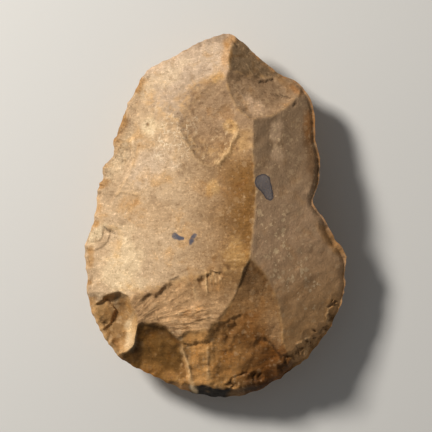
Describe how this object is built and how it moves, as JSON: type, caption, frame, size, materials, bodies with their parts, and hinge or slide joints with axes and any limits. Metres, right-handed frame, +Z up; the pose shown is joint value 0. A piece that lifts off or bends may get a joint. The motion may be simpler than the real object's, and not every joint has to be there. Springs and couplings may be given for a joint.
{
  "type": "stone hand axe",
  "caption": "Flaked flint hand axe with a pointed tip, a rounded butt and a wavy margin, held in the hand for cutting, chopping and scraping.",
  "frame": {"origin": "middle of the stone's outline, on the surface that it lies on", "axes": "+Y from the butt to the tip, +Z up out of the more flaked face, +X to the right seen from above with the tip away"},
  "size_m": [0.0936, 0.13, 0.038],
  "materials": {
    "flint": "patinated flint, tan to grey-brown, dull with a faint gloss on worn ridges"
  },
  "bodies": {
    "root": {"hand_axe": "flint"}
  },
  "joints": []
}
